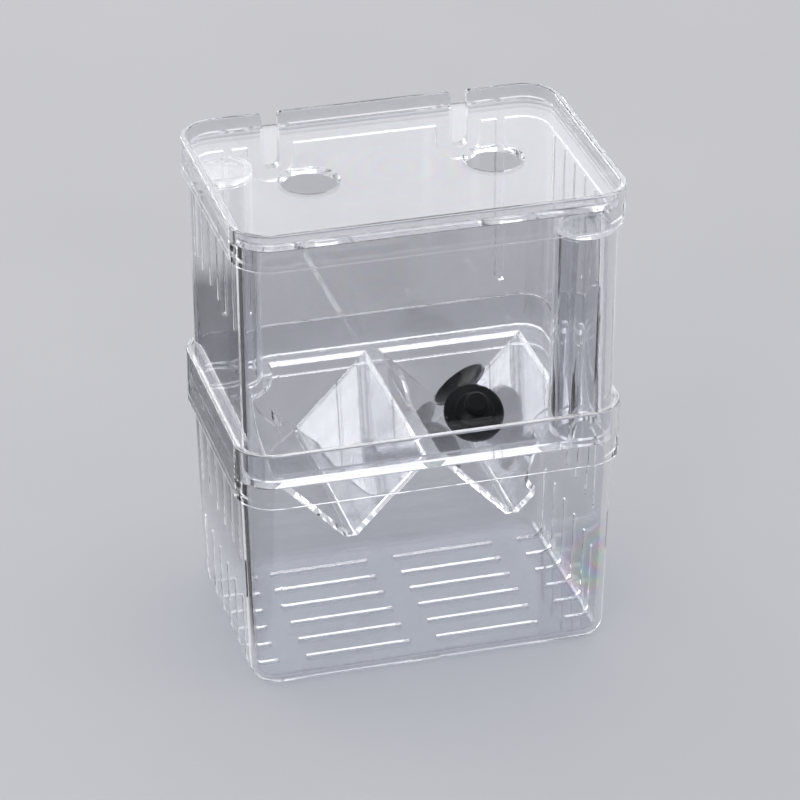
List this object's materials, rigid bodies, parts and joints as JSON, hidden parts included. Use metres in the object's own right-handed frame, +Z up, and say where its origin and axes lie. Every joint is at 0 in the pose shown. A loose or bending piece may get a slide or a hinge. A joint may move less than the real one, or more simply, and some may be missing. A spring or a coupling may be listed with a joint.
{
  "type": "fish breeding box",
  "caption": "Stacked clear fish breeding box: slotted lower basket, lift-out V-trough insert, upper box with corner float columns, lid with round holes, loose suction cups.",
  "frame": {"origin": "centre of the bottom face, on the surface the box stands on", "axes": "+X to the right along the width, +Y to the rear wall with the hanger slots, +Z up"},
  "size_m": [0.12, 0.085, 0.155],
  "materials": {
    "clear_basket": "clear, polished",
    "clear_box": "clear, polished",
    "clear_lid": "clear, polished",
    "clear_insert": "clear, polished",
    "clear_trough": "clear, polished",
    "black_rubber": "smooth, slightly shiny"
  },
  "bodies": {
    "lower_box": {"lower_box": "clear_basket"},
    "insert": {"insert_frame": "clear_insert", "left_trough": "clear_trough", "right_trough": "clear_trough", "ridge_rail": "clear_insert"},
    "upper_box": {"upper_box": "clear_box"},
    "lid": {"lid": "clear_lid"},
    "rear_cup": {"rear_suction_cup": "black_rubber"},
    "front_cup": {"front_suction_cup": "black_rubber"}
  },
  "joints": [
    {"name": "insert_lift", "type": "slide", "parent": "lower_box", "child": "insert", "axis": [0, 0, 1], "range_m": [0, 0.04]},
    {"name": "upper_box_lift", "type": "slide", "parent": "insert", "child": "upper_box", "axis": [0, 0, 1], "range_m": [0, 0.08]},
    {"name": "lid_lift", "type": "slide", "parent": "upper_box", "child": "lid", "axis": [0, 0, 1], "range_m": [0, 0.025]},
    {"name": "rear_cup_lift", "type": "slide", "parent": "insert", "child": "rear_cup", "axis": [0, 0, 1], "range_m": [0, 0.038]},
    {"name": "front_cup_lift", "type": "slide", "parent": "rear_cup", "child": "front_cup", "axis": [0, 0, 1], "range_m": [0, 0.038]}
  ]
}
